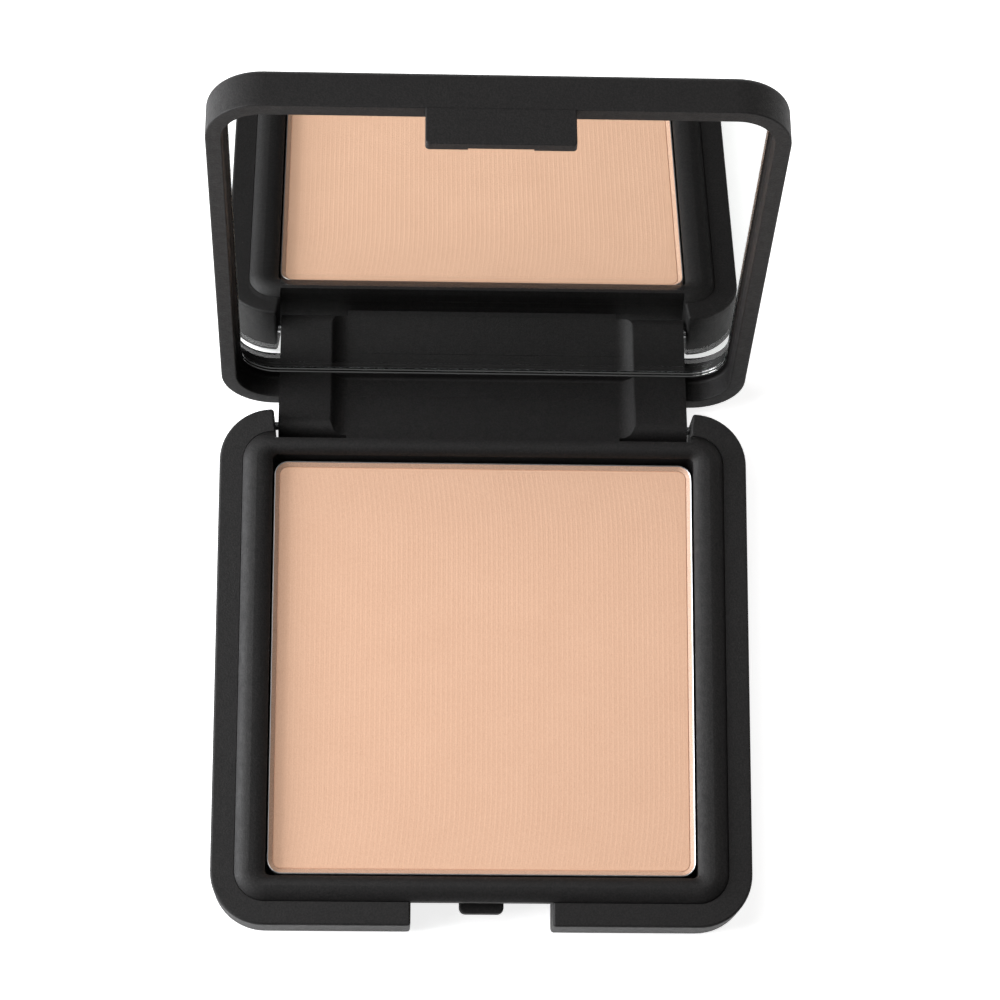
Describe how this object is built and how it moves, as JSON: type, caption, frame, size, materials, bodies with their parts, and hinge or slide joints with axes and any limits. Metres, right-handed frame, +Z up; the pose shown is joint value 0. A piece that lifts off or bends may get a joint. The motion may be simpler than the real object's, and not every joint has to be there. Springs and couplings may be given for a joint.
{
  "type": "powder compact",
  "caption": "Square black powder compact, open, with a mirrored lid on a rear hinge, a front snap tab and a pressed powder pan in a raised frame.",
  "frame": {"origin": "centre of the base's flat bottom face", "axes": "+X to the right seen from the front, +Y from the front towards the hinge, +Z up"},
  "size_m": [0.075, 0.1003, 0.0737],
  "materials": {
    "shell": "soft-touch satin black",
    "label": "blank matt white",
    "tray": "satin black",
    "glue": "cured hot-melt, translucent",
    "pan": "bright pressed sheet",
    "powder": "dry pressed powder, fine ribbed surface",
    "pin": "ground",
    "mirror": "silvered float glass, ground edge",
    "tape": "white foam"
  },
  "bodies": {
    "base": {"base_shell": "shell", "bottom_label": "label", "inner_tray": "tray", "pan_adhesive": "glue", "powder_pan": "pan", "pressed_powder": "powder", "hinge_pin_left": "pin", "hinge_pin_right": "pin"},
    "lid": {"lid_shell": "shell", "mirror": "mirror", "mirror_tape": "tape"}
  },
  "joints": [
    {"name": "lid_hinge", "type": "hinge", "parent": "base", "child": "lid", "pos_m": [0, 0.0354, 0.0038], "axis": [1, 0, 0], "range_deg": [0, 104.8]}
  ]
}
